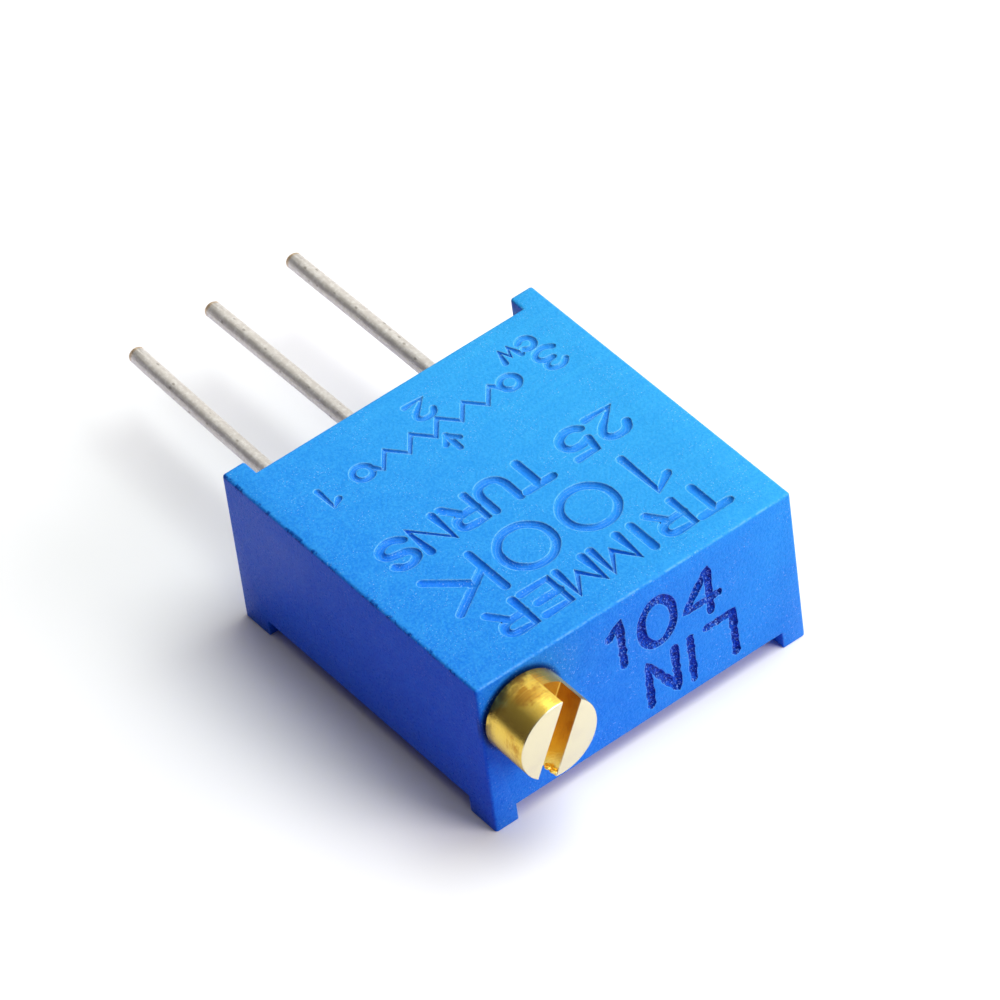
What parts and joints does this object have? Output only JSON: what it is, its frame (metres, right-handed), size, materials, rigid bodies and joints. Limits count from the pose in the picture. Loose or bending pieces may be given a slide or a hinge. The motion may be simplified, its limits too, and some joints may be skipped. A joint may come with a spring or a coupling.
{
  "type": "trimmer potentiometer",
  "caption": "Square multi-turn trimmer potentiometer with a slotted brass side screw, a worm drive inside and wire leads in line for a circuit board.",
  "frame": {"origin": "on the plane that the part rests on, under the middle of its bounding box", "axes": "+Z out of the top face, +X along the row of terminals from terminal 1 to terminal 3, +Y the way the terminals point; the screw's head points to -Y"},
  "size_m": [0.0096, 0.0188, 0.0048],
  "materials": {
    "blue_plastic": "fine satin moulding",
    "screw_brass": "turned, bright",
    "seal_rubber": "moulded",
    "retainer_steel": "stamped sheet",
    "wheel_plastic": "moulded, natural",
    "spring_alloy": "stamped sheet",
    "alumina": "fired, matt",
    "cermet_film": "fired film",
    "silver_film": "fired film",
    "tinned_wire": "dull tin plating",
    "solder": "dull solder",
    "potting_resin": "cast resin"
  },
  "bodies": {
    "case": {"housing": "blue_plastic", "potting": "potting_resin", "terminal_1": "tinned_wire", "terminal_2": "tinned_wire", "terminal_3": "tinned_wire", "ceramic_plate": "alumina", "resistance_track": "cermet_film", "collector_track": "silver_film", "end_pad_1": "silver_film", "end_pad_3": "silver_film", "solder_joint_1": "solder", "solder_joint_2": "solder", "solder_joint_3": "solder", "screw_retainer": "retainer_steel"},
    "screw": {"adjusting_screw": "screw_brass", "screw_o_ring": "seal_rubber"},
    "rotor": {"worm_wheel": "wheel_plastic", "wiper_spring": "spring_alloy"}
  },
  "joints": [
    {"name": "screw_turn", "type": "hinge", "parent": "case", "child": "screw", "pos_m": [-0.00358, -0.00793, 0.00349], "axis": [0, 1, 0], "range_deg": [-4500, 4500]},
    {"name": "wheel_turn", "type": "hinge", "parent": "case", "child": "rotor", "pos_m": [0, -0.00354, 0.00349], "axis": [0, 0, 1], "range_deg": [-150, 150]}
  ],
  "couplings": [
    {"joint": "wheel_turn", "follows": "screw_turn", "ratio": 0.033333}
  ]
}
